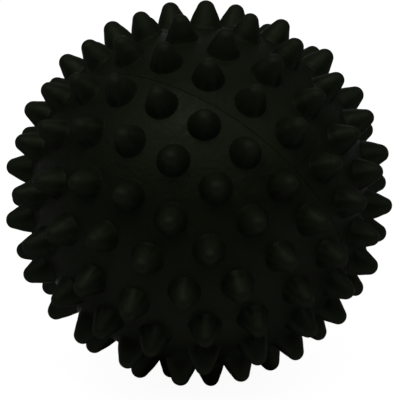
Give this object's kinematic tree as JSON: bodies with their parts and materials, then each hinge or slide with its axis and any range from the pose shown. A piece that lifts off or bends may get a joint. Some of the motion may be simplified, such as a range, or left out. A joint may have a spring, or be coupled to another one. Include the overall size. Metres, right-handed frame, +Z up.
{
  "type": "spiky massage ball",
  "caption": "Hollow round massage ball of black rubber with rounded spikes all over, made of two bonded half shells with a self-sealing needle valve.",
  "frame": {"origin": "centre of the ball", "axes": "+Z up, with the ball standing on three neighbouring spikes of its lower half; -Y towards the viewer of the reference view; the parting plane's poles lie along (0.528, 0.678, 0.512) and its opposite, and the needle valve is at the first of them"},
  "size_m": [0.089, 0.0896, 0.0888],
  "materials": {
    "skin_rubber": "matt moulded black rubber with a fine grain",
    "bonding_rubber": "dull cured rubber cement",
    "valve_rubber": "smooth black butyl rubber",
    "core_rubber": "soft dark grey rubber"
  },
  "bodies": {
    "root": {"lower_half": "skin_rubber", "upper_half": "skin_rubber", "seam_cement": "bonding_rubber", "valve_housing": "valve_rubber", "valve_core": "core_rubber"}
  },
  "joints": []
}
